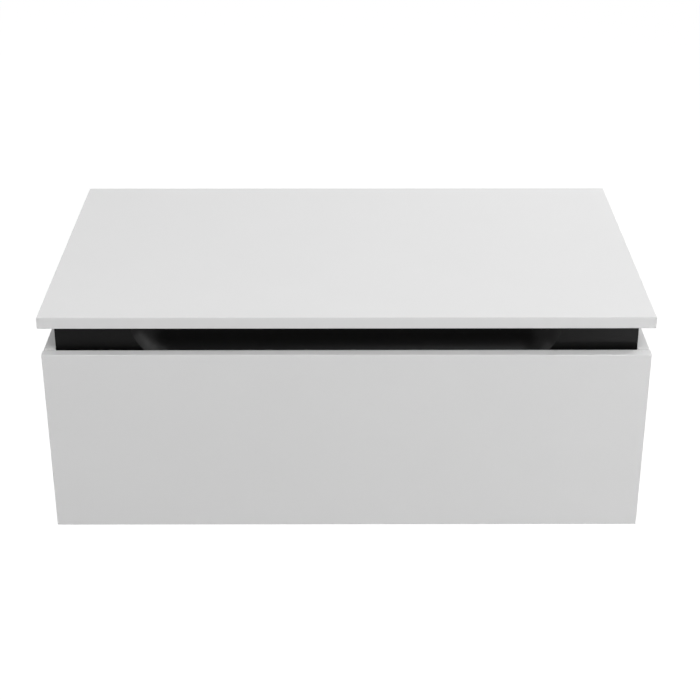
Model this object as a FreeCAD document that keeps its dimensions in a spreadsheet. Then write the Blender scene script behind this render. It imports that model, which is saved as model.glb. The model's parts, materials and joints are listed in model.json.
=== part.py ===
import FreeCAD, Part
import math
import os
import re
import Sketcher

# A wall-hung vanity cabinet with one wide drawer under a floating top.
# +X is to the right, the front faces -Y and the wall is the plane y = 0.
# The origin is midway between the two wall-fixing holes, in the wall plane.

SIZES = {
    # Outer form
    "width": 750,              # over the top panel and the side panels
    "depth": 450,              # from the wall to the front edge of the top
    "height": 300,             # from the foot of the drawer front to the top
    "board": 15,               # every carcass board and the drawer front
    "edge_round": 1.2,         # radius on the edges of the painted boards
    "gap_height": 40,          # shadow gap between the body and the top
    "top_overhang": 9,         # top panel in front of the drawer front
    "front_gap": 1.5,          # closed drawer front to the carcass
    # Hanging
    "hang_drop": 65,           # wall-fixing holes below the top surface
    "hang_inset": 65,          # wall-fixing holes in from the ends of the hanging rail
    "hang_hole": 10,
    "back_rail_height": 90,
    "lower_rail_height": 70,
    "plate_width": 70,
    "plate_height": 44,
    "plate_sheet": 2.5,
    # Black rails in the shadow gap
    "gap_rail_height": 70,
    "grip_height": 64,
    "grip_thickness": 28,
    "grip_setback": 3,         # face of the grip rail behind the side panels' edges
    "cove_radius": 70,         # ball-ended cutter that scoops the finger pocket
    "cove_depth": 20,
    "cove_inset": 142.5,       # centre of each round end in from the side panel
    "cove_drop": 6,            # axis of the scoop below the underside of the top
    # Dowels, screws, brackets and buffers
    "dowel_diameter": 8,
    "dowel_length": 30,
    "dowel_bite": 10,          # part of a dowel that is in the face of a board
    "dowel_inset": 60,
    "screw_diameter": 4,
    "screw_bite": 10,
    "box_screw_inset": 25,     # screws of the drawer's corners from its top and bottom
    "front_screw_inset": 40,   # screws of the drawer front from the box's top and bottom
    "front_screw_reach": 103,  # the same screws from the box's sides
    "floor_screw_inset": 40,   # screws of the drawer's bottom from the ends of its back pieces
    "clip_screw_inset": 7,
    "clip_screw_bite": 5,
    "runner_screw_inset": 35,
    "flange_hole": 20,         # the runners' screws above the runners' foot
    "head_diameter": 8,
    "head_height": 2.5,
    "bore_play": 0.2,          # holes over the diameter of what they take
    "bracket_leg": 25,
    "bracket_width": 20,
    "bracket_sheet": 2,
    "bracket_hole": 15,        # from the fold to the screw
    "bracket_inset": 30,       # from the rails at the front and back
    "buffer_diameter": 8,
    "buffer_inset": 35,        # from the foot and the top of the side panels
    "buffer_play": 0.3,
    # Drawer runners
    "service_depth": 48,       # room for pipes behind the drawer
    "runner_sheet": 1.2,
    "runner_lift": 3,          # above the bottom panel
    "runner_setback": 1,       # behind the drawer's box front
    "runner_centre": 31,       # from the side panel to the middle of the rails
    "flange_height": 28,
    "channel_half": 11,
    "rail_half": 8,
    "rail_stem": 1.6,
    "slot_half": 3,
    "lip_play": 0.8,
    "roller_diameter": 3.4,
    "roller_length": 10,
    "roller_play": 0.3,
    "roller_pitch": 15,
    "cage_length": 100,
    "cage_sheet": 2,
    # Drawer box
    "side_clearance": 5,
    "drawer_board": 12,
    "drawer_floor": 8,
    "drawer_lift": 9,          # foot of the drawer's sides above the bottom panel
    "drawer_headroom": 16,     # drawer's sides below the black rails
    "groove_depth": 6,
    "trap_width": 220,
    "trap_depth": 160,
    # Lock clips and levers under the drawer
    "clip_width": 34,
    "clip_length": 60,
    "clip_sheet": 3,
    "hook_width": 4,
    "hook_length": 10,
    "hook_drop": 6,
    "post_diameter": 5,
    "post_play": 0.16,         # bore of the lever over its post
    "lever_boss": 12,
    "lever_thickness": 6,
    "lever_width": 7,
    "lever_length": 30,
    "lever_tab": 14,
    "lever_play": 0.3,
}

# Places worked out from the sizes
PLACES = {
    "foot": "hang_drop - height",
    "floor_top": "foot + board",
    "under_top": "foot + height - board",
    "front_height": "height - board - gap_height",
    "front_top": "foot + front_height",
    "front_face": "top_overhang - depth",
    "front_back": "front_face + board",
    "side_front": "front_back + front_gap",
    "inner_half": "width/2 - board",
    "rail_inner": "inner_half - board",
    "hang_half": "rail_inner - hang_inset",
    "cove_half": "inner_half - cove_inset",
    "grip_face": "side_front + grip_setback",
    "grip_back": "grip_face + grip_thickness",
    "back_rail_foot": "under_top - back_rail_height",
    "gap_rail_foot": "under_top - gap_rail_height",
    "screw_line": "(gap_rail_foot + front_top)/2",
    "dowel_hole": "dowel_diameter + bore_play",
    "screw_hole": "screw_diameter + bore_play",
    "head_hole": "head_diameter + bore_play",
    "rail_rise": "2*lip_play + runner_sheet",
    "roller_gap": "roller_diameter + 2*roller_play",
    "stage": "rail_rise + 2*runner_sheet + roller_gap",
    "runner_foot": "floor_top + runner_lift",
    "box_front_back": "front_back + drawer_board",
    "runner_front": "box_front_back + runner_setback",
    "drawer_rear": "-board - service_depth",
    "runner_length": "drawer_rear - runner_front",
    "drawer_half": "inner_half - side_clearance",
    "drawer_inside": "drawer_half - drawer_board",
    "drawer_foot": "floor_top + drawer_lift",
    "drawer_top": "gap_rail_foot - drawer_headroom",
    "drawer_height": "drawer_top - drawer_foot",
    "bottom_underside": "runner_foot + runner_sheet + 2*stage",
    "bottom_top": "bottom_underside + drawer_floor",
    "trap_front": "drawer_rear - trap_depth",
    "clip_outer": "inner_half - runner_centre - channel_half - bore_play",
    "clip_underside": "bottom_underside - clip_sheet",
    "pivot_across": "clip_outer - clip_width/3",
    "pivot_along": "runner_front + lever_length + lever_boss/2",
}

# Hidden dowels, screws and rollers, and the holes that take them, are eight-sided
FIXING_SIDES = 8

PLANES = {"x": "YZ_Plane", "y": "XZ_Plane", "z": "XY_Plane"}
SIDES = (-1, 1)

doc = FreeCAD.newDocument("vanity_cabinet")
sheet = doc.addObject("Spreadsheet::Sheet", "Sizes")
for row, (alias, number) in enumerate(SIZES.items(), 1):
    sheet.set(f"A{row}", alias)
    sheet.set(f"B{row}", str(number))
    sheet.setAlias(f"B{row}", alias)
doc.recompute()

corners = {}
subparts = []


def tie(text):
    """The expression that a text of named sizes and places stands for."""
    def spell(match):
        name = match.group(0)
        if name in PLACES:
            return "(" + tie(PLACES[name]) + ")"
        return "Sizes." + name
    return re.sub(r"[a-z_]+", spell, str(text))


def size(text):
    """The number, in millimetres, that a text of named sizes gives now."""
    return float(sheet.evalExpression(tie(text)))


def keep(piece):
    """Lists a finished sub-part for export."""
    subparts.append(piece)
    return piece


def place(piece, corner):
    """Binds where a piece's own origin lies."""
    for axis, text in zip("xyz", corner):
        piece.setExpression(f"Placement.Base.{axis}", tie(text))


def new_body(label, corner):
    """An empty body whose own origin lies at a corner given in the part's frame."""
    body = doc.addObject("PartDesign::Body", label)
    corners[body.Name] = corner
    place(body, corner)
    return body


def new_sketch(body, axis, shift=("0", "0", "0")):
    """A sketch square to an axis of the body, shifted across the plane and along its normal."""
    sketch = body.newObject("Sketcher::SketchObject", body.Label + "_sketch")
    plane = next(item for item in body.Origin.OriginFeatures if item.Role == PLANES[axis])
    sketch.AttachmentSupport = [(plane, "")]
    sketch.MapMode = "FlatFace"
    for direction, text in zip("xyz", shift):
        sketch.setExpression(f"AttachmentOffset.Base.{direction}", tie(text))
    return sketch


def bind(sketch, held):
    """Adds constraints whose values follow the sheet, given as pairs of constraint and text."""
    numbers = sketch.addConstraint([constraint for constraint, text in held])
    for number, (constraint, text) in zip(numbers, held):
        sketch.setExpression(f"Constraints[{number}]", tie(text))


def hold_point(geometry, end, spot):
    """What holds one point of a sketch at a spot measured from the sketch's origin."""
    return [(Sketcher.Constraint(kind, -1, 1, geometry, end, size(text)), text)
            for kind, text in zip(("DistanceX", "DistanceY"), spot)]


def draw_outline(sketch, spots):
    """A closed outline of straight lines."""
    points = [FreeCAD.Vector(size(across), size(up), 0) for across, up in spots]
    lines = [Part.LineSegment(start, end) for start, end in zip(points, points[1:] + points[:1])]
    numbers = sketch.addGeometry(lines, False)
    joined = zip(numbers[-1:] + numbers[:-1], numbers)
    sketch.addConstraint([Sketcher.Constraint("Coincident", before, 2, line, 1) for before, line in joined])
    bind(sketch, [pair for line, spot in zip(numbers, spots) for pair in hold_point(line, 1, spot)])


def draw_circles(sketch, spots, diameter):
    """Circles of one diameter."""
    for spot in spots:
        centre = FreeCAD.Vector(size(spot[0]), size(spot[1]), 0)
        circle = Part.Circle(centre, FreeCAD.Vector(0, 0, 1), size(diameter) / 2)
        geometry = sketch.addGeometry(circle, False)
        width = Sketcher.Constraint("Diameter", geometry, size(diameter))
        bind(sketch, hold_point(geometry, 3, spot) + [(width, diameter)])


def add_pad(body, sketch, length, reverse=False):
    """Raises a sketch to a solid."""
    pad = body.newObject("PartDesign::Pad", body.Label + "_pad")
    pad.Profile = sketch
    pad.Reversed = reverse
    pad.setExpression("Length", tie(length))
    return pad


def check_cut(body, cut, before):
    """A cut has to take something away."""
    doc.recompute()
    if body.Shape.Volume > before - 0.01:
        raise RuntimeError(f"{cut.Name} takes nothing away")
    return cut


def add_pocket(body, sketch, depth, reverse):
    """Cuts a sketch into the solid."""
    doc.recompute()
    before = body.Shape.Volume
    pocket = body.newObject("PartDesign::Pocket", body.Label + "_pocket")
    pocket.Profile = sketch
    pocket.Reversed = reverse
    pocket.setExpression("Length", tie(depth))
    return check_cut(body, pocket, before)


def sketch_at(body, axis, face):
    """A sketch at a face of the body, and the function that turns the part's frame into it."""
    own = dict(zip("xyz", corners[body.Name]))
    level = f"({face}) - ({own[axis]})"
    if axis == "y":
        level = f"-({level})"
    first, second = [name for name in "xyz" if name != axis]

    def inside(spots):
        return [(f"({a}) - ({own[first]})", f"({b}) - ({own[second]})") for a, b in spots]
    return new_sketch(body, axis, ("0", "0", level)), inside


def goes_reverse(axis, into):
    """Whether a cut into +1 or -1 along an axis runs against a pocket's own direction."""
    return (into > 0) != (axis == "y")


def drill(body, axis, face, into, spots, diameter, depth):
    """Round holes along an axis, from a face of the part's frame, into +1 or -1."""
    sketch, inside = sketch_at(body, axis, face)
    draw_circles(sketch, inside(spots), diameter)
    return add_pocket(body, sketch, depth, goes_reverse(axis, into))


def rout(body, axis, face, into, loops, depth):
    """Straight-sided slots along an axis, from a face of the part's frame."""
    sketch, inside = sketch_at(body, axis, face)
    for loop in loops:
        draw_outline(sketch, inside(loop))
    return add_pocket(body, sketch, depth, goes_reverse(axis, into))


def bore(body, axis, face, into, spots, diameter, depth):
    """Eight-sided holes for hidden fixings. The diameter is over the corners."""
    turns = [2 * math.pi * step / FIXING_SIDES for step in range(FIXING_SIDES)]
    radius = f"({diameter})/2"
    rim = [(f"{math.cos(turn):.6f}*{radius}", f"{math.sin(turn):.6f}*{radius}") for turn in turns]
    loops = [[(f"{first} + {across}", f"{second} + {up}") for across, up in rim] for first, second in spots]
    return rout(body, axis, face, into, loops, depth)


def rectangle(left, right, low, high):
    """The corners of a rectangle."""
    return [(left, low), (right, low), (right, high), (left, high)]


def broad_edges(shape, axis):
    """Names of the edges round the two faces of a board that are square to an axis."""
    along = "xyz".index(axis)
    return [f"Edge{number}" for number, edge in enumerate(shape.Edges, 1)
            if abs(edge.Vertexes[0].Point[along] - edge.Vertexes[-1].Point[along]) < 1e-6]


def board(label, corner, extent, rounded=None):
    """A board cut to size. The edges of the broad faces square to the rounded axis are eased."""
    body = new_body(label, corner)
    sketch = new_sketch(body, "z")
    draw_outline(sketch, rectangle("0", extent[0], "0", extent[1]))
    pad = add_pad(body, sketch, extent[2])
    if rounded:
        doc.recompute()
        fillet = body.newObject("PartDesign::Fillet", label + "_rounding")
        fillet.Base = (pad, broad_edges(pad.Shape, rounded))
        fillet.setExpression("Radius", tie("edge_round"))
        doc.recompute()
    return body


def extrusion(label, corner, profile, length):
    """A folded or drawn profile, given across X and Z, that runs back along Y."""
    body = new_body(label, corner)
    sketch = new_sketch(body, "y")
    draw_outline(sketch, profile)
    add_pad(body, sketch, length, reverse=True)
    return body


def twin(label, source):
    """The mirror image of a left-hand piece, on the right."""
    mirror = doc.addObject("Part::Mirroring", label)
    mirror.Source = source
    mirror.Normal = FreeCAD.Vector(1, 0, 0)
    return mirror


def group(label, pieces):
    """Like pieces that share a node, each still a solid of its own."""
    together = doc.addObject("Part::Compound", label)
    together.Links = pieces
    return keep(together)


def point_along(piece, axis, into):
    """Turns a rod so that its own axis runs along X, Y or Z."""
    direction = FreeCAD.Vector(*[into * (name == axis) for name in "xyz"])
    turn = FreeCAD.Rotation(FreeCAD.Vector(0, 0, 1), direction)
    piece.Placement = FreeCAD.Placement(FreeCAD.Vector(), turn)


def rod(name, start, axis, into, diameter, length):
    """An eight-sided rod from its start along an axis. The diameter is over the corners."""
    piece = doc.addObject("Part::Prism", name)
    piece.Polygon = FIXING_SIDES
    point_along(piece, axis, into)
    piece.setExpression("Circumradius", tie(f"({diameter})/2"))
    piece.setExpression("Height", tie(length))
    place(piece, start)
    return piece


def screw(name, seat, axis, into, length, flush=False):
    """A screw: a flat head, sunk flush or standing on its seat, and a plain shank."""
    shank = rod(name + "_shank", seat, axis, into, "screw_diameter", length)
    step = "0" if flush else f"{-into}*head_height"
    start = [f"{text} + {step}" if letter == axis else text for letter, text in zip("xyz", seat)]
    head = rod(name + "_head", start, axis, into, "head_diameter", "head_height")
    whole = doc.addObject("Part::Fuse", name)
    whole.Base = head
    whole.Tool = shank
    return whole


# Where the fixings lie, shared by the pieces on both sides of each joint
bottom_dowel_rows = ["side_front + dowel_inset", "side_front/2", "-dowel_inset"]
bottom_dowel_spots = [(row, "foot + board/2") for row in bottom_dowel_rows]
lower_rail_levels = [f"floor_top + {share}*lower_rail_height/4" for share in (1, 3)]
gap_dowel_levels = [f"under_top - {share}*gap_rail_height/4" for share in (1, 3)]
gap_screw_rows = ["grip_back + dowel_inset", "grip_back/2", "-dowel_inset"]
grip_dowel_levels = [f"under_top - {share}*grip_height/4" for share in (1, 3)]
bracket_rows = ["grip_back + bracket_inset", "-board - bracket_inset - bracket_width"]
runner_middle = "(runner_front + drawer_rear)/2"
runner_screw_rows = ["runner_front + runner_screw_inset", runner_middle, "drawer_rear - runner_screw_inset"]
runner_screw_level = "runner_foot + flange_hole"
box_screw_levels = ["bottom_top + box_screw_inset", "drawer_top - box_screw_inset"]
box_screw_rows = ["front_back + drawer_board/2", "drawer_rear - drawer_board/2"]
front_screw_across = "(drawer_inside - front_screw_reach)"
front_screw_levels = ["bottom_top + front_screw_inset", "drawer_top - front_screw_inset"]
notch_edge = "trap_width/2 + drawer_board"
floor_screw_across = [f"{notch_edge} + floor_screw_inset", "drawer_inside - floor_screw_inset"]
clip_screw_across = ["clip_outer - clip_screw_inset", "clip_outer - clip_width + clip_screw_inset"]
clip_screw_row = "runner_front + clip_length - head_diameter"
plate_screw_reach = "plate_width/2 - head_diameter"
dowel_rest = "dowel_length - dowel_bite"


def make_top_panel():
    """The floating top, with blind holes for the bracket screws in its underside."""
    top = board("top_panel", ("-width/2", "-depth", "under_top"), ("width", "depth", "board"), "z")
    spots = [(f"{side}*(rail_inner - bracket_hole)", f"{row} + bracket_width/2")
             for side in SIDES for row in bracket_rows]
    bore(top, "z", "under_top", 1, spots, "screw_hole", "screw_bite + bore_play")
    keep(top)


def make_side_panels():
    """The two side panels, bored on the inside for dowels and screws."""
    panel = board("left_side_panel", ("-width/2", "side_front", "foot"),
                  ("board", "-(side_front)", "front_height"), "x")
    inside = "-(inner_half)"
    dowel_spots = bottom_dowel_spots + [("-board/2", level) for level in lower_rail_levels]
    bore(panel, "x", inside, -1, dowel_spots, "dowel_hole", "dowel_bite + bore_play")
    screw_spots = [(row, "screw_line") for row in gap_screw_rows]
    screw_spots += [(row, runner_screw_level) for row in runner_screw_rows]
    bore(panel, "x", inside, -1, screw_spots, "screw_hole", "screw_bite + bore_play")
    keep(panel)
    keep(twin("right_side_panel", panel))


def bore_ends(body, half, spots):
    """Dowel holes in both ends of a board that runs across the cabinet."""
    for side in SIDES:
        bore(body, "x", f"{side}*({half})", -side, spots, "dowel_hole", f"{dowel_rest} + bore_play")


def make_bottom_panel():
    """The carcass floor between the side panels."""
    panel = board("bottom_panel", ("-(inner_half)", "side_front", "foot"),
                  ("2*inner_half", "-(side_front)", "board"))
    bore_ends(panel, "inner_half", bottom_dowel_spots)
    keep(panel)


def make_back_rails():
    """The hanging rail under the top and the rail on the carcass floor."""
    upper = board("upper_back_rail", ("-(rail_inner)", "-board", "back_rail_foot"),
                  ("2*rail_inner", "board", "back_rail_height"))
    bore_ends(upper, "rail_inner", [("-board/2", level) for level in gap_dowel_levels])
    hang_spots = [(f"{side}*hang_half", "0") for side in SIDES]
    drill(upper, "y", "0", -1, hang_spots, "hang_hole", "board")
    plate_spots = [(f"{side}*hang_half + {end}*({plate_screw_reach})", "0")
                   for side in SIDES for end in SIDES]
    bore(upper, "y", "-board", 1, plate_spots, "screw_hole", "screw_bite + bore_play")
    keep(upper)
    lower = board("lower_back_rail", ("-(inner_half)", "-board", "floor_top"),
                  ("2*inner_half", "board", "lower_rail_height"))
    bore_ends(lower, "inner_half", [("-board/2", level) for level in lower_rail_levels])
    keep(lower)


def make_grip_rail():
    """The black front rail. A ball-ended cutter scoops its long finger pocket."""
    rail = board("grip_rail", ("-(inner_half)", "grip_face", "under_top - grip_height"),
                 ("2*inner_half", "grip_thickness", "grip_height"))
    axis_level = "grip_height - cove_drop"
    centre_back = "cove_radius - cove_depth"
    radius = size("cove_radius")
    ahead = size(centre_back)
    middle = FreeCAD.Vector(-ahead, 0, 0)
    rim = (radius ** 2 - ahead ** 2) ** 0.5
    deepest = FreeCAD.Vector(radius - ahead, 0, 0)
    low_rim = FreeCAD.Vector(0, -rim, 0)
    high_rim = FreeCAD.Vector(0, rim, 0)
    face = FreeCAD.Vector(0, 0, 0)

    def hold_arc(sketch):
        """Binds the cutter's circle: its centre in front of the face, its radius from the sheet."""
        reach = Sketcher.Constraint("Radius", 0, radius)
        bind(sketch, hold_point(0, 3, (f"-({centre_back})", "0")) + [(reach, "cove_radius")])

    # The straight run of the scoop
    run = new_sketch(rail, "x", ("0", axis_level, "inner_half"))
    run.addGeometry(Part.Arc(low_rim, deepest, high_rim), False)
    run.addGeometry(Part.LineSegment(high_rim, low_rim), False)
    for first, second in ((2, 1), (1, 2)):
        run.addConstraint(Sketcher.Constraint("Coincident", 0, first, 1, second))
        run.addConstraint(Sketcher.Constraint("PointOnObject", 0, first, -2))
    hold_arc(run)
    scoop = add_pocket(rail, run, "2*cove_half", False)
    scoop.SideType = "Symmetric"

    # The round ends, where the cutter goes in and comes out
    for side in SIDES:
        doc.recompute()
        before = rail.Shape.Volume
        end = new_sketch(rail, "x", ("0", axis_level, f"inner_half + {side}*cove_half"))
        low_arc = Part.Circle(middle, FreeCAD.Vector(0, 0, 1), radius)
        start_angle = 2 * 3.141592653589793 - low_arc.parameter(high_rim)
        end.addGeometry(Part.ArcOfCircle(low_arc, start_angle, 2 * 3.141592653589793), False)
        end.addGeometry(Part.LineSegment(deepest, face), False)
        end.addGeometry(Part.LineSegment(face, low_rim), False)
        for first, second in ((0, 1), (1, 2), (2, 0)):
            end.addConstraint(Sketcher.Constraint("Coincident", first, 2, second, 1))
        bind(end, hold_point(2, 1, ("0", "0")))
        end.addConstraint(Sketcher.Constraint("PointOnObject", 0, 1, -2))
        end.addConstraint(Sketcher.Constraint("PointOnObject", 0, 2, -1))
        hold_arc(end)
        bowl = rail.newObject("PartDesign::Groove", "grip_rail_round_end")
        bowl.Profile = end
        bowl.ReferenceAxis = (end, ["H_Axis"])
        bowl.Angle = 360
        check_cut(rail, bowl, before)

    spots = [(f"{side}*(inner_half - board/2)", level) for side in SIDES for level in grip_dowel_levels]
    bore(rail, "y", "grip_back", -1, spots, "dowel_hole", "dowel_bite + bore_play")
    keep(rail)


def make_gap_rails():
    """The black rails that carry the top at both sides, set in by a board's thickness."""
    rail = board("left_gap_rail", ("-(inner_half)", "grip_back", "gap_rail_foot"),
                 ("board", "-(grip_back)", "gap_rail_height"))
    inside = "-(rail_inner)"
    back_spots = [("-board/2", level) for level in gap_dowel_levels]
    bore(rail, "x", inside, -1, back_spots, "dowel_hole", "dowel_bite + bore_play")
    front_spots = [("-(inner_half - board/2)", level) for level in grip_dowel_levels]
    bore(rail, "y", "grip_back", 1, front_spots, "dowel_hole", f"{dowel_rest} + bore_play")
    screw_spots = [(row, "screw_line") for row in gap_screw_rows]
    bore(rail, "x", inside, -1, screw_spots, "screw_hole", "board")
    bore(rail, "x", inside, -1, screw_spots, "head_hole", "head_height")
    bracket_spots = [(f"{row} + bracket_width/2", "under_top - bracket_hole") for row in bracket_rows]
    bore(rail, "x", inside, -1, bracket_spots, "screw_hole", "screw_bite + bore_play")
    keep(rail)
    keep(twin("right_gap_rail", rail))


def make_dowels():
    """Wooden dowels, one group for each joint of the carcass."""
    def across(name, half, spots):
        return [rod(f"{name}_{number}_{side}", (f"{side}*({half} + dowel_bite)", *spot), "x", -side,
                    "dowel_diameter", "dowel_length")
                for side in SIDES for number, spot in enumerate(spots)]
    group("bottom_dowels", across("bottom_dowel", "inner_half", bottom_dowel_spots))
    lower_spots = [("-board/2", level) for level in lower_rail_levels]
    group("lower_rail_dowels", across("lower_rail_dowel", "inner_half", lower_spots))
    upper_spots = [("-board/2", level) for level in gap_dowel_levels]
    group("upper_rail_dowels", across("upper_rail_dowel", "rail_inner", upper_spots))
    group("grip_rail_dowels", [
        rod(f"grip_rail_dowel_{number}_{side}",
            (f"{side}*(inner_half - board/2)", "grip_back - dowel_bite", level), "y", 1,
            "dowel_diameter", "dowel_length")
        for side in SIDES for number, level in enumerate(grip_dowel_levels)])


def make_gap_rail_screws():
    """Flush screws from inside, through the gap rails into the side panels."""
    group("gap_rail_screws", [
        screw(f"gap_rail_screw_{number}_{side}", (f"{side}*(rail_inner)", row, "screw_line"), "x", side,
              "board + screw_bite", flush=True)
        for side in SIDES for number, row in enumerate(gap_screw_rows)])


def make_top_brackets():
    """Folded steel angles that hold the top down on the gap rails, and their screws."""
    angles = []
    screws = []
    for number, row in enumerate(bracket_rows):
        profile = [("0", "0"), ("bracket_leg", "0"), ("bracket_leg", "-bracket_sheet"),
                   ("bracket_sheet", "-bracket_sheet"), ("bracket_sheet", "-bracket_leg"),
                   ("0", "-bracket_leg")]
        corner = ("-(rail_inner)", row, "under_top")
        angle = extrusion(f"left_top_bracket_{number}", corner, profile, "bracket_width")
        middle = f"{row} + bracket_width/2"
        bore(angle, "z", "under_top", -1, [("bracket_hole - rail_inner", middle)], "screw_hole",
             "bracket_sheet")
        bore(angle, "x", "-(rail_inner)", 1, [(middle, "under_top - bracket_hole")], "screw_hole",
              "bracket_sheet")
        angles += [angle, twin(f"right_top_bracket_{number}", angle)]
        for side in SIDES:
            up_seat = (f"{side}*(rail_inner - bracket_hole)", middle, "under_top - bracket_sheet")
            out_seat = (f"{side}*(rail_inner - bracket_sheet)", middle, "under_top - bracket_hole")
            length = "bracket_sheet + screw_bite"
            screws.append(screw(f"bracket_up_screw_{number}_{side}", up_seat, "z", 1, length))
            screws.append(screw(f"bracket_out_screw_{number}_{side}", out_seat, "x", side, length))
    group("top_brackets", angles)
    group("top_bracket_screws", screws)


def make_wall_plates():
    """Steel plates that spread the load of the wall bolts, and their screws."""
    corner = ("-hang_half - plate_width/2", "-board - plate_sheet", "-plate_height/2")
    plate = board("left_wall_plate", corner, ("plate_width", "plate_sheet", "plate_height"))
    drill(plate, "y", "-board", -1, [("-hang_half", "0")], "hang_hole", "plate_sheet")
    spots = [(f"-hang_half + {end}*({plate_screw_reach})", "0") for end in SIDES]
    bore(plate, "y", "-board", -1, spots, "screw_hole", "plate_sheet")
    group("wall_plates", [plate, twin("right_wall_plate", plate)])
    group("wall_plate_screws", [
        screw(f"wall_plate_screw_{side}_{end}",
              (f"{side}*hang_half + {end}*({plate_screw_reach})", "-board - plate_sheet", "0"), "y", 1,
              "plate_sheet + screw_bite")
        for side in SIDES for end in SIDES])


def make_front_buffers():
    """Soft discs on the side panels' front edges that the drawer front closes on."""
    levels = ["foot + buffer_inset", "front_top - buffer_inset"]
    group("front_buffers", [
        rod(f"front_buffer_{number}_{side}", (f"{side}*(width - board)/2", "side_front", level), "y", -1,
            "buffer_diameter", "front_gap - buffer_play")
        for side in SIDES for number, level in enumerate(levels)])


def rail_profile(level):
    """A T-shaped rail that stands on a level: its stem and its flat head, from left to right."""
    head = f"{level} + rail_rise"
    left = [("runner_centre - rail_stem/2", level), ("runner_centre - rail_stem/2", head),
            ("runner_centre - rail_half", head), ("runner_centre - rail_half", f"{head} + runner_sheet")]
    right = [("runner_centre + rail_half", f"{head} + runner_sheet"), ("runner_centre + rail_half", head),
             ("runner_centre + rail_stem/2", head), ("runner_centre + rail_stem/2", level)]
    return left + right


def channel_profile(level):
    """The inside and the lips of a channel that wraps a rail on a level, from top right to top left."""
    lip = f"{level} + lip_play"
    lip_top = f"{lip} + runner_sheet"
    web = f"{level} + stage - runner_sheet"
    right, left = "runner_centre + channel_half", "runner_centre - channel_half"
    return [(right, lip), ("runner_centre + slot_half", lip), ("runner_centre + slot_half", lip_top),
            (f"{right} - runner_sheet", lip_top), (f"{right} - runner_sheet", web),
            (f"{left} + runner_sheet", web), (f"{left} + runner_sheet", lip_top),
            ("runner_centre - slot_half", lip_top), ("runner_centre - slot_half", lip), (left, lip)]


def make_runners():
    """Full-extension runners: a fixed rail, a middle channel with a rail, and the drawer's channel."""
    corner = ("-(inner_half)", "runner_front", "runner_foot")
    floor = "runner_sheet"
    upper_floor = "runner_sheet + stage"
    right, left = "runner_centre + channel_half", "runner_centre - channel_half"

    flange = [("runner_sheet", "flange_height"), ("runner_sheet", floor)]
    foot = [(right, floor), (right, "0"), ("0", "0"), ("0", "flange_height")]
    cabinet = extrusion("left_cabinet_runner", corner, flange + rail_profile(floor) + foot, "runner_length")
    spots = [(row, runner_screw_level) for row in runner_screw_rows]
    bore(cabinet, "x", "-(inner_half)", 1, spots, "screw_hole", "runner_sheet")

    top_left, top_right = [(left, upper_floor)], [(right, upper_floor)]
    middle_profile = top_left + rail_profile(upper_floor) + top_right + channel_profile(floor)
    middle = extrusion("left_middle_runner", corner, middle_profile, "runner_length")

    top = f"{upper_floor} + stage"
    drawer_profile = [(left, top), (right, top)] + channel_profile(upper_floor)
    drawer = extrusion("left_drawer_runner", corner, drawer_profile, "runner_length")

    for piece in (cabinet, middle, drawer):
        keep(piece)
        keep(twin(piece.Label.replace("left", "right"), piece))
    group("cabinet_runner_screws", [
        screw(f"cabinet_runner_screw_{number}_{side}",
              (f"{side}*(inner_half - runner_sheet)", row, runner_screw_level), "x", side,
              "runner_sheet + screw_bite")
        for side in SIDES for number, row in enumerate(runner_screw_rows)])


def make_roller_cages():
    """A slotted strip with loose rollers, between each rail and the channel over it."""
    start = f"{runner_middle} - cage_length/2"
    rows = [f"{runner_middle} + {step}*roller_pitch" for step in (-2.5, -1.5, -0.5, 0.5, 1.5, 2.5)]
    near = "inner_half - runner_centre - rail_half"
    for name, level in (("lower", "0"), ("upper", "stage")):
        axis_level = f"runner_foot + 2*runner_sheet + rail_rise + roller_gap/2 + {level}"
        corner = (f"-({near} + 2*rail_half)", start, f"{axis_level} - cage_sheet/2")
        cage = board(f"left_{name}_cage", corner, ("2*rail_half", "cage_length", "cage_sheet"))
        centre = "(runner_centre - inner_half)"
        half_length = "(roller_length/2 + roller_play)"
        half_slot = "(roller_diameter/2 + roller_play)"
        slots = [rectangle(f"{centre} - {half_length}", f"{centre} + {half_length}",
                           f"{row} - {half_slot}", f"{row} + {half_slot}") for row in rows]
        rout(cage, "z", f"{axis_level} + cage_sheet/2", -1, slots, "cage_sheet")
        keep(cage)
        keep(twin(f"right_{name}_cage", cage))
        for side_name, side in zip(("left", "right"), SIDES):
            group(f"{side_name}_{name}_rollers", [
                rod(f"{side_name}_{name}_roller_{number}",
                    (f"{side}*(inner_half - runner_centre) - roller_length/2", row, axis_level), "x", 1,
                    "roller_diameter", "roller_length")
                for number, row in enumerate(rows)])


def make_drawer_front():
    """The white front, screwed on from inside the box."""
    front = board("drawer_front", ("-width/2", "front_face", "foot"),
                  ("width", "board", "front_height"), "y")
    spots = [(f"{side}*{front_screw_across}", level) for side in SIDES for level in front_screw_levels]
    bore(front, "y", "front_back", -1, spots, "screw_hole", "screw_bite + bore_play")
    keep(front)

    box_front = board("drawer_box_front", ("-(drawer_inside)", "front_back", "drawer_foot"),
                      ("2*drawer_inside", "drawer_board", "drawer_height"))
    rout(box_front, "x", "-(drawer_inside)", 1,
         [rectangle("box_front_back - groove_depth", "box_front_back",
                    "bottom_underside - bore_play/2", "bottom_top + bore_play/2")], "2*drawer_inside")
    bore(box_front, "y", "box_front_back", -1, spots, "screw_hole", "drawer_board")
    for side in SIDES:
        ends = [(box_screw_rows[0], level) for level in box_screw_levels]
        bore(box_front, "x", f"{side}*(drawer_inside)", -side, ends, "screw_hole",
             "2*screw_bite + bore_play")
    keep(box_front)


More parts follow.
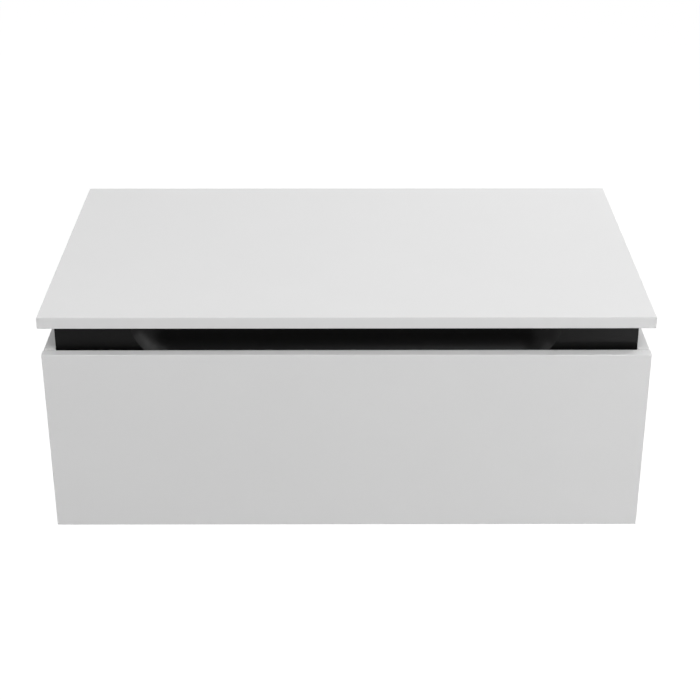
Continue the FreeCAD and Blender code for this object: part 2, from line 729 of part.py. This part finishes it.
def make_drawer_sides():
    """The drawer's sides, grooved for its bottom."""
    side = board("drawer_left_side", ("-(drawer_half)", "front_back", "drawer_foot"),
                 ("drawer_board", "drawer_rear - (front_back)", "drawer_height"))
    groove = rectangle("box_front_back - groove_depth", "drawer_rear",
                       "bottom_underside - bore_play/2", "bottom_top + bore_play/2")
    rout(side, "x", "-(drawer_inside)", -1, [groove], "groove_depth")
    spots = [(row, level) for row in box_screw_rows for level in box_screw_levels]
    bore(side, "x", "-(drawer_half)", 1, spots, "screw_hole", "drawer_board")
    bore(side, "x", "-(drawer_half)", 1, spots, "head_hole", "head_height")
    keep(side)
    keep(twin("drawer_right_side", side))


def make_drawer_bottom():
    """The drawer's bottom, notched at the back for the waste trap."""
    half = "drawer_inside + groove_depth - bore_play"
    start = "box_front_back - groove_depth + bore_play"
    body = new_body("drawer_bottom", ("0", "0", "bottom_underside"))
    sketch = new_sketch(body, "z")
    notch = [("trap_width/2", "drawer_rear"), ("trap_width/2", "trap_front"),
             ("-trap_width/2", "trap_front"), ("-trap_width/2", "drawer_rear")]
    sheet_edge = [(f"-({half})", "drawer_rear"), (f"-({half})", start),
                  (half, start), (half, "drawer_rear")]
    draw_outline(sketch, sheet_edge + notch)
    add_pad(body, sketch, "drawer_floor")
    floor_spots = [(f"{side}*({across})", box_screw_rows[1])
                   for side in SIDES for across in floor_screw_across]
    bore(body, "z", "bottom_underside", 1, floor_spots, "screw_hole", "drawer_floor")
    bore(body, "z", "bottom_underside", 1, floor_spots, "head_hole", "head_height")
    clip_spots = [(f"{side}*({across})", clip_screw_row) for side in SIDES for across in clip_screw_across]
    bore(body, "z", "bottom_underside", 1, clip_spots, "screw_hole", "clip_screw_bite + bore_play")
    keep(body)


def make_drawer_back():
    """The back pieces at both sides of the trap notch, and the three walls around it."""
    tall = "drawer_top - (bottom_top)"
    back = board("drawer_left_back", ("-(drawer_inside)", "drawer_rear - drawer_board", "bottom_top"),
                 (f"drawer_inside - ({notch_edge})", "drawer_board", tall))
    ends = [(box_screw_rows[1], level) for level in box_screw_levels]
    bore(back, "x", "-(drawer_inside)", 1, ends, "screw_hole", "2*screw_bite + bore_play")
    floor_spots = [(f"-({across})", box_screw_rows[1]) for across in floor_screw_across]
    bore(back, "z", "bottom_top", 1, floor_spots, "screw_hole", "screw_bite + bore_play")
    keep(back)
    keep(twin("drawer_right_back", back))
    wall = board("trap_left_wall", (f"-({notch_edge})", "trap_front", "bottom_top"),
                 ("drawer_board", "trap_depth", tall))
    keep(wall)
    keep(twin("trap_right_wall", wall))
    keep(board("trap_front_wall", (f"-({notch_edge})", "trap_front - drawer_board", "bottom_top"),
               (f"2*({notch_edge})", "drawer_board", tall)))


def make_drawer_screws():
    """The screws of the drawer front, of the box's corners and of the bottom."""
    group("drawer_front_screws", [
        screw(f"drawer_front_screw_{number}_{side}",
              (f"{side}*{front_screw_across}", "box_front_back", level), "y", -1,
              "drawer_board + screw_bite")
        for side in SIDES for number, level in enumerate(front_screw_levels)])
    group("drawer_box_screws", [
        screw(f"drawer_box_screw_{side}_{end}_{number}", (f"{side}*(drawer_half)", row, level), "x", -side,
              "drawer_board + 2*screw_bite", flush=True)
        for side in SIDES
        for end, row in enumerate(box_screw_rows)
        for number, level in enumerate(box_screw_levels)])
    group("drawer_bottom_screws", [
        screw(f"drawer_bottom_screw_{number}_{side}",
              (f"{side}*({across})", box_screw_rows[1], "bottom_underside"), "z", 1,
              "drawer_floor + screw_bite", flush=True)
        for side in SIDES for number, across in enumerate(floor_screw_across)])


def make_lock_clips():
    """Moulded clips under the drawer that hold it to its runners, with their screws and levers."""
    near = "-(clip_outer)"
    clip = board("left_lock_clip", (near, "runner_front", "clip_underside"),
                 ("clip_width", "clip_length", "clip_sheet"))
    hook = new_sketch(clip, "z")
    draw_outline(hook, rectangle("0", "hook_width", "0", "hook_length"))
    add_pad(clip, hook, "hook_drop", reverse=True)
    pivot = ("clip_outer - (pivot_across)", "pivot_along - (runner_front)")
    post = new_sketch(clip, "z")
    draw_circles(post, [pivot], "post_diameter")
    add_pad(clip, post, "lever_thickness + 2*lever_play", reverse=True)
    cap = new_sketch(clip, "z", ("0", "0", "-lever_thickness - 2*lever_play"))
    draw_circles(cap, [pivot], "post_diameter + clip_sheet")
    add_pad(clip, cap, "clip_sheet/2", reverse=True)
    spots = [(f"-({across})", clip_screw_row) for across in clip_screw_across]
    bore(clip, "z", "clip_underside", 1, spots, "screw_hole", "clip_sheet")
    keep(clip)
    keep(twin("right_lock_clip", clip))
    group("lock_clip_screws", [
        screw(f"lock_clip_screw_{number}_{side}",
              (f"{side}*({across})", clip_screw_row, "clip_underside"), "z", 1,
              "clip_sheet + clip_screw_bite")
        for side in SIDES for number, across in enumerate(clip_screw_across)])

    # A flat arm with a round boss on the post and a flared finger tab towards the front
    lever = new_body("left_lock_lever", ("-(pivot_across)", "pivot_along", "clip_underside - lever_play"))
    arm = new_sketch(lever, "z")
    tab = "-lever_length + lever_width"
    draw_outline(arm, [("-lever_width/2", "0"), ("-lever_width/2", "-lever_length"),
                       ("lever_tab - lever_width/2", "-lever_length"), ("lever_width/2", tab),
                       ("lever_width/2", "0")])
    add_pad(lever, arm, "lever_thickness", reverse=True)
    boss = new_sketch(lever, "z")
    draw_circles(boss, [("0", "0")], "lever_boss")
    add_pad(lever, boss, "lever_thickness", reverse=True)
    drill(lever, "z", "clip_underside - lever_play", -1, [("-(pivot_across)", "pivot_along")],
          "post_diameter + post_play", "lever_thickness")
    keep(lever)
    keep(twin("right_lock_lever", lever))


make_top_panel()
make_side_panels()
make_bottom_panel()
make_back_rails()
make_grip_rail()
make_gap_rails()
make_dowels()
make_gap_rail_screws()
make_top_brackets()
make_wall_plates()
make_front_buffers()
make_runners()
make_roller_cages()
make_drawer_front()
make_drawer_sides()
make_drawer_bottom()
make_drawer_back()
make_drawer_screws()
make_lock_clips()
doc.recompute()

for item in doc.Objects:
    if "Invalid" in item.State or "Error" in item.State:
        raise RuntimeError(f"{item.Name} failed: {item.State}")
for piece in subparts:
    if piece.Shape.isNull() or not piece.Shape.isValid():
        raise RuntimeError(f"{piece.Label} has no valid shape")

os.makedirs("parts", exist_ok=True)
for piece in subparts:
    piece.Shape.exportStep(f"parts/{piece.Label}.step")
    print(piece.Label, len(piece.Shape.Solids), round(piece.Shape.Volume, 1))
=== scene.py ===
import json
import math

import bmesh
import bpy
from mathutils import Matrix, Quaternion, Vector


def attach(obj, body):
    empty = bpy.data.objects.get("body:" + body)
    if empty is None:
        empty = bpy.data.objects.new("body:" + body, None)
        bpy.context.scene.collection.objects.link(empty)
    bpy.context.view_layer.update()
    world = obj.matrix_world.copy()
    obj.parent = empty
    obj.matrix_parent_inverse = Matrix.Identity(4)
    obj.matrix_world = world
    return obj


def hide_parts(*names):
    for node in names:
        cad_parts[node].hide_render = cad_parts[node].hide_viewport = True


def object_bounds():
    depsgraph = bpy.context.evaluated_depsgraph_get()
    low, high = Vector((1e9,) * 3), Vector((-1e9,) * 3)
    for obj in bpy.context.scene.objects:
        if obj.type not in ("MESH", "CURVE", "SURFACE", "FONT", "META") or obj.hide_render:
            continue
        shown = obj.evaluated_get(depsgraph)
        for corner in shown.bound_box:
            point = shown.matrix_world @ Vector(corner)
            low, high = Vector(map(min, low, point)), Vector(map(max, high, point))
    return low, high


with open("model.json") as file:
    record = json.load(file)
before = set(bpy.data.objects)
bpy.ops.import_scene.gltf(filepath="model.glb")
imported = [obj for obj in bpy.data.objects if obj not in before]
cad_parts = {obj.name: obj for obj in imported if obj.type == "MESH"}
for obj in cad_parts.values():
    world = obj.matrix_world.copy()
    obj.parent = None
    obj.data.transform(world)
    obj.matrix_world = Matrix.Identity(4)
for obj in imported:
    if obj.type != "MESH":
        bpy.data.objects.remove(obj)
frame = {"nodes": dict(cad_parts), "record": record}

# A white wall-hung vanity cabinet: a floating top over a black recessed band, and one wide drawer.
# The part's frame holds: +X right, the front faces -Y, the wall is y = 0, metres.

MM = 0.001
cad_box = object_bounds()
nodes = frame["nodes"]
scene = bpy.context.scene


# Materials

def linear(colour):
    """An sRGB hex colour as linear RGBA."""
    channels = [int(colour[start:start + 2], 16) / 255 for start in (1, 3, 5)]
    return [c / 12.92 if c <= 0.04045 else ((c + 0.055) / 1.055) ** 2.4 for c in channels] + [1.0]


def per(millimetres):
    """The texture scale whose pattern repeats about every so many millimetres."""
    return 1 / (millimetres * MM)


def add(tree, kind, settings, links):
    """Adds a node, sets its sockets and properties, and links its inputs."""
    node = tree.nodes.new(kind)
    for name, value in settings.items():
        if isinstance(name, int) or name in node.inputs:
            node.inputs[name].default_value = value
        else:
            setattr(node, name, value)
    for name, source in links.items():
        tree.links.new(source, node.inputs[name])
    return node


def new_material(name):
    """An empty material, its node tree and the object's own coordinates in metres."""
    material = bpy.data.materials.new(name)
    material.use_nodes = True
    tree = material.node_tree
    tree.nodes.clear()
    place = add(tree, "ShaderNodeTexCoord", {}, {}).outputs["Object"]
    return material, tree, place


def close_material(tree, settings, links):
    """Ends a tree in its one shader."""
    shader = add(tree, "ShaderNodeBsdfPrincipled", settings, links)
    add(tree, "ShaderNodeOutputMaterial", {}, {"Surface": shader.outputs["BSDF"]})


def sprayed_white_lacquer():
    """Matt white lacquer, sprayed on fibreboard and left to level."""
    # A soft, even white. The spray leaves a faint orange peel and a slightly cloudy sheen.
    material, tree, place = new_material("sprayed_white_lacquer")
    cloud = add(tree, "ShaderNodeTexNoise", {"Scale": per(90), "Detail": 3.0}, {"Vector": place})
    tint = add(tree, "ShaderNodeMix", {"data_type": "RGBA", 6: linear("#E4E4E4"), 7: linear("#E7E7E7")},
               {0: cloud.outputs["Fac"]})
    sheen = add(tree, "ShaderNodeMapRange", {"To Min": 0.66, "To Max": 0.74},
                {"Value": cloud.outputs["Fac"]})
    peel = add(tree, "ShaderNodeTexNoise", {"Scale": per(2.4), "Detail": 1.0}, {"Vector": place})
    relief = add(tree, "ShaderNodeBump", {"Strength": 0.5, "Distance": 0.01 * MM},
                 {"Height": peel.outputs["Fac"]})
    close_material(tree, {"IOR": 1.48},
                   {"Base Color": tint.outputs[2], "Roughness": sheen.outputs["Result"],
                    "Normal": relief.outputs["Normal"]})
    return material


def sprayed_black_lacquer():
    """Satin black lacquer, sprayed on the rails in the shadow gap."""
    # Deep black that still carries broad, soft highlights along its curves.
    material, tree, place = new_material("sprayed_black_lacquer")
    cloud = add(tree, "ShaderNodeTexNoise", {"Scale": per(60), "Detail": 3.0}, {"Vector": place})
    tint = add(tree, "ShaderNodeMix", {"data_type": "RGBA", 6: linear("#101010"), 7: linear("#131313")},
               {0: cloud.outputs["Fac"]})
    sheen = add(tree, "ShaderNodeMapRange", {"To Min": 0.24, "To Max": 0.28},
                {"Value": cloud.outputs["Fac"]})
    peel = add(tree, "ShaderNodeTexNoise", {"Scale": per(1.8), "Detail": 1.0}, {"Vector": place})
    relief = add(tree, "ShaderNodeBump", {"Strength": 0.4, "Distance": 0.008 * MM},
                 {"Height": peel.outputs["Fac"]})
    close_material(tree, {"IOR": 1.48, "Specular IOR Level": 0.12},
                   {"Base Color": tint.outputs[2], "Roughness": sheen.outputs["Result"],
                    "Normal": relief.outputs["Normal"]})
    return material


def pressed_melamine():
    """White melamine paper pressed on chipboard with a pearled plate."""
    # Duller and a little warmer than the lacquer, with a fine pebbled pearl.
    material, tree, place = new_material("pressed_melamine")
    cloud = add(tree, "ShaderNodeTexNoise", {"Scale": per(140), "Detail": 2.0}, {"Vector": place})
    tint = add(tree, "ShaderNodeMix", {"data_type": "RGBA", 6: linear("#DEDEDB"), 7: linear("#E3E3E1")},
               {0: cloud.outputs["Fac"]})
    # The real pearl is about 0.4 mm wide. It is drawn coarser, so that it shows.
    pearl = add(tree, "ShaderNodeTexVoronoi", {"Scale": per(1.6), "feature": "SMOOTH_F1"},
                {"Vector": place})
    relief = add(tree, "ShaderNodeBump", {"Strength": 0.5, "Distance": 0.03 * MM},
                 {"Height": pearl.outputs["Distance"]})
    close_material(tree, {"Roughness": 0.62, "IOR": 1.5},
                   {"Base Color": tint.outputs[2], "Normal": relief.outputs["Normal"]})
    return material


def turned_beech():
    """Beech dowels, turned and fluted, left bare."""
    # Pale pinkish brown with short dark flecks along the grain.
    material, tree, place = new_material("turned_beech")
    along = add(tree, "ShaderNodeMapping", {"Scale": (0.12, 1.0, 1.0)}, {"Vector": place})
    grain = add(tree, "ShaderNodeTexNoise", {"Scale": per(1.2), "Detail": 4.0},
                {"Vector": along.outputs["Vector"]})
    tint = add(tree, "ShaderNodeMix", {"data_type": "RGBA", 6: linear("#B98F63"), 7: linear("#D6B48C")},
               {0: grain.outputs["Fac"]})
    close_material(tree, {"Roughness": 0.7, "IOR": 1.5}, {"Base Color": tint.outputs[2]})
    return material


def zinc_plated_steel(name, along, bright, dull):
    """Cold-rolled steel sheet with bright zinc plating."""
    # Cool grey metal. Rolling leaves faint streaks along the strip, and the plating is a little cloudy.
    material, tree, place = new_material(name)
    strip = add(tree, "ShaderNodeMapping", {"Scale": along}, {"Vector": place})
    streak = add(tree, "ShaderNodeTexNoise", {"Scale": per(0.8), "Detail": 4.0},
                 {"Vector": strip.outputs["Vector"]})
    cloud = add(tree, "ShaderNodeTexNoise", {"Scale": per(12), "Detail": 3.0}, {"Vector": place})
    tint = add(tree, "ShaderNodeMix", {"data_type": "RGBA", 6: linear(dull), 7: linear(bright)},
               {0: cloud.outputs["Fac"]})
    sheen = add(tree, "ShaderNodeMapRange", {"To Min": 0.24, "To Max": 0.46},
                {"Value": streak.outputs["Fac"]})
    relief = add(tree, "ShaderNodeBump", {"Strength": 0.3, "Distance": 0.01 * MM},
                 {"Height": streak.outputs["Fac"]})
    close_material(tree, {"Metallic": 1.0},
                   {"Base Color": tint.outputs[2], "Roughness": sheen.outputs["Result"],
                    "Normal": relief.outputs["Normal"]})
    return material


def moulded_plastic(name, light, dark):
    """Glass-filled polyamide, moulded in an eroded tool."""
    # An even, fairly dull plastic with a fine spark-eroded grain.
    material, tree, place = new_material(name)
    # The real grain is about 0.1 mm wide. It is drawn coarser, so that it shows.
    grain = add(tree, "ShaderNodeTexNoise", {"Scale": per(0.5), "Detail": 2.0}, {"Vector": place})
    tint = add(tree, "ShaderNodeMix", {"data_type": "RGBA", 6: linear(dark), 7: linear(light)},
               {0: grain.outputs["Fac"]})
    relief = add(tree, "ShaderNodeBump", {"Strength": 0.5, "Distance": 0.03 * MM},
                 {"Height": grain.outputs["Fac"]})
    close_material(tree, {"Roughness": 0.55, "IOR": 1.53},
                   {"Base Color": tint.outputs[2], "Normal": relief.outputs["Normal"]})
    return material


def cast_polyurethane():
    """Clear soft polyurethane, cast as domed stick-on discs."""
    # Milky and half clear, with a wet shine.
    material, tree, place = new_material("cast_polyurethane")
    cloud = add(tree, "ShaderNodeTexNoise", {"Scale": per(3), "Detail": 2.0}, {"Vector": place})
    sheen = add(tree, "ShaderNodeMapRange", {"To Min": 0.12, "To Max": 0.22},
                {"Value": cloud.outputs["Fac"]})
    close_material(tree, {"Base Color": linear("#E9ECEC"), "IOR": 1.5, "Transmission Weight": 0.6},
                   {"Roughness": sheen.outputs["Result"]})
    return material


# The finish of each of the record's material slots
FINISHES = {
    "white_board": sprayed_white_lacquer(),
    "black_board": sprayed_black_lacquer(),
    "drawer_board": pressed_melamine(),
    "dowel_wood": turned_beech(),
    "runner_steel": zinc_plated_steel("zinc_plated_runner_steel", (1.0, 0.03, 1.0), "#C3C6C9", "#B2B5B8"),
    "zinc_steel": zinc_plated_steel("zinc_plated_fitting_steel", (1.0, 1.0, 0.2), "#C6C7C4", "#AEB0AE"),
    "grey_plastic": moulded_plastic("moulded_grey_plastic", "#6A6C6E", "#5C5E60"),
    "lever_plastic": moulded_plastic("moulded_lever_plastic", "#9A9C9E", "#8C8E90"),
    "buffer_rubber": cast_polyurethane(),
}
slot_of = {name: node.material_slots[0].material.name for name, node in nodes.items()}
body_of = {name: body for body, names in frame["record"]["behaviour"]["bodies"].items() for name in names}
for name, node in nodes.items():
    node.material_slots[0].material = FINISHES[slot_of[name]]


# Screws, rollers, dowels and buffers, turned round where their solids are eight-sided

TURN_STEPS = 24
SHARP_TURN = math.radians(35)
WELD_REACH = 0.002 * MM
SAME_DIGITS = 6            # decimals of a metre, so that points equally far out count as equal
UP = Vector((0, 0, 1))
FORWARD = Vector((0, -1, 0))

# Outlines from the face inwards, as shares of the radius and of the thickness
PAN_HEAD = ((0.62, 0), (0.8, 0.1), (0.93, 0.3), (1, 0.62), (1, 0.94), (0.97, 1))
SUNK_HEAD = ((0.97, 0), (1, 0.06), (1, 0.2))
DOME = ((0.55, 0), (0.8, 0.12), (0.95, 0.4), (1, 0.75), (1, 1))

CROSS_ARM = 0.5            # reach of the cross recess, of the head's radius
CROSS_HALF = 0.3           # half the width of an arm, of its reach
CROSS_FOOT = 0.55          # foot of the recess, of its mouth
CROSS_DEPTH = 0.6          # depth of the recess, of the head's thickness
TIP_LENGTH = 2             # tapered tip of a screw, of the shank's radius
TIP_END = 0.25             # radius of its end, of the shank's radius
DOWEL_EASE = 0.25          # eased ends, of the radius
DOWEL_FLUTE = 0.06         # depth of the flutes, of the radius
ROLLER_EASE = 0.15         # the same on a roller


def solids_of(name):
    """The points of each separate solid in a node."""
    mesh = bmesh.new()
    mesh.from_mesh(nodes[name].data)
    bmesh.ops.remove_doubles(mesh, verts=mesh.verts, dist=WELD_REACH)
    reached = set()
    groups = []
    for start in mesh.verts:
        if start in reached:
            continue
        reached.add(start)
        group = [start]
        for vert in group:
            for edge in vert.link_edges:
                other = edge.other_vert(vert)
                if other not in reached:
                    reached.add(other)
                    group.append(other)
        groups.append([vert.co.copy() for vert in group])
    mesh.free()
    return groups


def seat_of(points, way=None):
    """A solid's top, Z out of its wider end or along a given way, and its points' depths and reaches."""
    low = Vector([min(p[i] for p in points) for i in range(3)])
    high = Vector([max(p[i] for p in points) for i in range(3)])
    middle = (low + high) / 2
    if way is None:
        along = max(range(3), key=lambda i: high[i] - low[i])
        widest = max(points, key=lambda p: round((p - middle).length, SAME_DIGITS))
        way = Vector((0, 0, 0))
        way[along] = math.copysign(1, widest[along] - middle[along])
    top = middle + way * abs((high - middle).dot(way))
    place = Matrix.Translation(top) @ UP.rotation_difference(way).to_matrix().to_4x4()
    inside = place.inverted()
    return place, [(-(inside @ p).z, (inside @ p).xy.length) for p in points]


def turn(mesh, place, profile, flute=0.0):
    """Adds rings of radius and depth to a mesh, closes the last one and gives back the first."""
    rings = []
    for radius, depth in profile:
        ring = []
        for step in range(TURN_STEPS):
            angle = math.tau * step / TURN_STEPS
            reach = radius * (1 - flute * (step % 2))
            spot = Vector((reach * math.cos(angle), reach * math.sin(angle), -depth))
            ring.append(mesh.verts.new(place @ spot))
        rings.append(ring)
    for upper, lower in zip(rings, rings[1:]):
        for step in range(TURN_STEPS):
            after = (step + 1) % TURN_STEPS
            mesh.faces.new((upper[step], lower[step], lower[after], upper[after]))
    mesh.faces.new(rings[-1][::-1])
    return rings[0]


def scaled(outline, radius, thick):
    """An outline of shares as radii and depths."""
    return [(across * radius, down * thick) for across, down in outline]


def cut_cross(mesh, place, rim, head, thick):
    """Closes a screw's head round a tapered cross recess."""
    arm = CROSS_ARM * head
    half = CROSS_HALF * arm
    depth = CROSS_DEPTH * thick
    corners = [(arm, -half), (arm, half), (half, half)]
    outline = []
    for quarter in range(4):
        spin = Matrix.Rotation(math.pi / 2 * quarter, 3, "Z")
        outline += [spin @ Vector((x, y, 0)) for x, y in corners]
    upper = [mesh.verts.new(place @ spot) for spot in outline]
    lower = [mesh.verts.new(place @ (CROSS_FOOT * spot - depth * UP)) for spot in outline]
    edges = [mesh.edges.get((rim[step - 1], rim[step])) for step in range(len(rim))]
    edges += [mesh.edges.new((upper[step - 1], upper[step])) for step in range(len(upper))]
    bmesh.ops.triangle_fill(mesh, use_beauty=True, edges=edges, normal=place.to_3x3() @ UP)
    for step in range(len(upper)):
        mesh.faces.new((upper[step - 1], upper[step], lower[step], lower[step - 1]))
    mesh.faces.new(lower)


def add_screw(mesh, points, outline):
    """A cross-head screw whose head has the given outline."""
    place, spots = seat_of(points)
    head = max(reach for depth, reach in spots)
    length = max(depth for depth, reach in spots)
    shank = min(reach for depth, reach in spots)
    thick = max(depth for depth, reach in spots if reach > (head + shank) / 2)
    profile = scaled(outline, head, thick)
    profile += [(shank, thick), (shank, length - TIP_LENGTH * shank), (TIP_END * shank, length)]
    rim = turn(mesh, place, profile)
    cut_cross(mesh, place, rim, head, thick)


def add_pin(mesh, points, ease, flute=0.0):
    """A plain rod with eased ends, fluted or smooth."""
    place, spots = seat_of(points)
    radius = max(reach for depth, reach in spots)
    length = max(depth for depth, reach in spots)
    end = ease * radius
    profile = [(radius - end, 0), (radius, end), (radius, length - end), (radius - end, length)]
    mesh.faces.new(turn(mesh, place, profile, flute))


def add_dome(mesh, points):
    """A soft disc with a domed face, stuck on an edge that faces forward."""
    place, spots = seat_of(points, FORWARD)
    radius = max(reach for depth, reach in spots)
    thick = max(depth for depth, reach in spots)
    mesh.faces.new(turn(mesh, place, scaled(DOME, radius, thick)))


def stand_in(name, add_piece, *shape):
    """One finer piece for each solid of a node, in that node's place."""
    mesh = bmesh.new()
    for points in solids_of(name):
        add_piece(mesh, points, *shape)
    bmesh.ops.recalc_face_normals(mesh, faces=mesh.faces)
    data = bpy.data.meshes.new(name + "_turned")
    mesh.to_mesh(data)
    mesh.free()
    data.shade_smooth()
    data.set_sharp_from_angle(angle=SHARP_TURN)
    data.materials.append(FINISHES[slot_of[name]])
    piece = bpy.data.objects.new(data.name, data)
    scene.collection.objects.link(piece)
    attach(piece, body_of[name])
    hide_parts(name)


for name in ("gap_rail_screws", "drawer_box_screws", "drawer_bottom_screws"):
    stand_in(name, add_screw, SUNK_HEAD)
for name in ("top_bracket_screws", "wall_plate_screws", "cabinet_runner_screws", "drawer_front_screws",
             "lock_clip_screws"):
    stand_in(name, add_screw, PAN_HEAD)
for name in ("bottom_dowels", "lower_rail_dowels", "upper_rail_dowels", "grip_rail_dowels"):
    stand_in(name, add_pin, DOWEL_EASE, DOWEL_FLUTE)
for side in ("left", "right"):
    for level in ("lower", "upper"):
        stand_in(f"{side}_{level}_rollers", add_pin, ROLLER_EASE)
stand_in("front_buffers", add_dome)


# Floor, light and camera

FLOOR_DROP = 0.55          # the foot of a wall-hung vanity above the floor
FLOOR_SIZE = 40.0
FLOOR_GLOW = 0.85          # share of the floor's colour that is plain white; the rest shows the shadow
FLOOR_WHITE = 1.15         # makes up for the dimmer share, so that the floor shows white
AMBIENT = 0.2              # the room's own light on the cabinet, where 1 is white
DIM_ROOM = 0.12            # the room behind the camera, which the black rail mirrors
DIM_WAY = (3, 19)          # its middle: degrees to the right of straight ahead, and degrees up
DIM_REACH = (32, 13)       # degrees from there where the dimness starts and where it is full

centre = (cad_box[0] + cad_box[1]) / 2
plain_white = linear("#FFFFFF")


def make_floor():
    """A plain pale floor that shows white to the camera and lights the cabinet from below."""
    bpy.ops.mesh.primitive_plane_add(size=FLOOR_SIZE, location=(0, 0, cad_box[0].z - FLOOR_DROP))
    floor = bpy.context.object
    floor.name = "floor"
    material, tree, _ = new_material("pale_floor")
    path = add(tree, "ShaderNodeLightPath", {}, {})
    plain = add(tree, "ShaderNodeMath", {"operation": "MAXIMUM"},
                {0: path.outputs["Is Camera Ray"], 1: path.outputs["Is Transmission Ray"]})
    seen = add(tree, "ShaderNodeMath", {"operation": "MAXIMUM"},
               {0: plain.outputs[0], 1: path.outputs["Is Glossy Ray"]})
    share = add(tree, "ShaderNodeMath", {"operation": "MULTIPLY", 1: FLOOR_GLOW}, {0: seen.outputs[0]})
    matt = add(tree, "ShaderNodeBsdfDiffuse", {"Color": linear("#DADADA")}, {})
    glow = add(tree, "ShaderNodeEmission", {"Color": plain_white, "Strength": FLOOR_WHITE}, {})
    both = add(tree, "ShaderNodeMixShader", {},
               {0: share.outputs[0], 1: matt.outputs[0], 2: glow.outputs[0]})
    # From below the floor is clear, so that the cabinet's underside can be looked at
    under = add(tree, "ShaderNodeNewGeometry", {}, {}).outputs["Backfacing"]
    clear = add(tree, "ShaderNodeBsdfTransparent", {"Color": plain_white}, {})
    sided = add(tree, "ShaderNodeMixShader", {}, {0: under, 1: both.outputs[0], 2: clear.outputs[0]})
    add(tree, "ShaderNodeOutputMaterial", {}, {"Surface": sided.outputs[0]})
    floor.data.materials.append(material)


def make_world():
    """A white room, dim behind the camera: plain white where it is seen, softer as light on the cabinet."""
    scene.world = bpy.data.worlds.new("studio")
    scene.world.use_nodes = True
    tree = scene.world.node_tree
    tree.nodes.clear()
    path = add(tree, "ShaderNodeLightPath", {}, {})
    towards = add(tree, "ShaderNodeTexCoord", {}, {}).outputs["Generated"]
    aside, lift = (math.radians(angle) for angle in DIM_WAY)
    middle = (math.sin(aside) * math.cos(lift), -math.cos(aside) * math.cos(lift), math.sin(lift))
    start, full = (math.cos(math.radians(angle)) for angle in DIM_REACH)
    ahead = add(tree, "ShaderNodeVectorMath", {"operation": "DOT_PRODUCT", 1: middle}, {0: towards})
    room = add(tree, "ShaderNodeMapRange",
               {"interpolation_type": "SMOOTHSTEP", "From Min": start, "From Max": full,
                "To Min": 1.0, "To Max": DIM_ROOM}, {"Value": ahead.outputs["Value"]})
    level = add(tree, "ShaderNodeMix", {"data_type": "FLOAT", 2: AMBIENT, 3: 1.0},
                {0: path.outputs["Is Glossy Ray"]})
    lit = add(tree, "ShaderNodeMath", {"operation": "MULTIPLY"},
              {0: level.outputs[0], 1: room.outputs["Result"]})
    plain = add(tree, "ShaderNodeMath", {"operation": "MAXIMUM"},
                {0: path.outputs["Is Camera Ray"], 1: path.outputs["Is Transmission Ray"]})
    strength = add(tree, "ShaderNodeMix", {"data_type": "FLOAT", 3: 1.0},
                   {0: plain.outputs[0], 2: lit.outputs[0]})
    sky = add(tree, "ShaderNodeBackground", {"Color": plain_white}, {"Strength": strength.outputs[0]})
    add(tree, "ShaderNodeOutputWorld", {}, {"Surface": sky.outputs[0]})


def make_softbox(name, place, width, height, power, lean=0):
    """A softbox that faces the cabinet, leaned over by some degrees. The camera doesn't see it."""
    data = bpy.data.lights.new(name, "AREA")
    data.shape = "RECTANGLE"
    data.size = width
    data.size_y = height
    data.energy = power
    lamp = bpy.data.objects.new(name, data)
    scene.collection.objects.link(lamp)
    lamp.location = Vector(place)
    lamp.rotation_mode = "QUATERNION"
    upright = (centre - lamp.location).to_track_quat("-Z", "Y")
    lamp.rotation_quaternion = upright @ Quaternion(UP, math.radians(lean))
    lamp.visible_camera = False


# The camera's place was worked out from the straight edges in the photograph, for a 700-pixel frame
FRAME_SIDE = 700
FOCAL_PIXELS = 1571.9
SHIFT_PIXELS = 22
CAMERA_PLACE = (0.0001, -2.1724, 0.8618)
CAMERA_PITCH = 26.81       # degrees down
CAMERA_YAW = 0.133         # degrees to the right
SENSOR = 36                # millimetres


def make_camera():
    """The photograph's camera: in front of the cabinet, looking down at it."""
    data = bpy.data.cameras.new("camera")
    data.sensor_width = SENSOR
    data.lens = FOCAL_PIXELS / FRAME_SIDE * SENSOR
    data.shift_y = SHIFT_PIXELS / FRAME_SIDE
    camera = bpy.data.objects.new("camera", data)
    scene.collection.objects.link(camera)
    camera.location = CAMERA_PLACE
    camera.rotation_euler = (math.radians(90 - CAMERA_PITCH), 0, math.radians(-CAMERA_YAW))
    scene.camera = camera


make_floor()
make_world()
# Each softbox: its place, width and height in metres, its watts, and its lean in degrees if it leans
make_softbox("front_softbox", (0.9, -2.1, 2.3), 2.2, 1.2, 23.4)
make_softbox("right_softbox", (1.68, -2.02, 0.8), 0.6, 2.2, 15.8, 34)
make_softbox("right_back_softbox", (1.4, 1.2, 1.7), 1.2, 1.2, 23.2)
make_softbox("left_softbox", (-1.7, -1.5, 1.5), 1.2, 1.2, 13.2)
make_softbox("left_tall_softbox", (-2.1, -0.9, 0.35), 1.0, 2.0, 7.8)
make_softbox("overhead_softbox", (0, 1.3, 1.7), 1.6, 1.0, 9.4)
# Small cards, which show in the black rail
make_softbox("right_edge_card", (1.6, -2.0, 1.15), 0.25, 0.9, 2.6)
make_softbox("right_near_card", (0.72, -2.0, 1.25), 0.25, 0.45, 1.4)
make_softbox("low_card", (0.75, -1.95, -0.64), 0.24, 0.2, 1.0)
make_camera()
scene.view_settings.view_transform = "Standard"
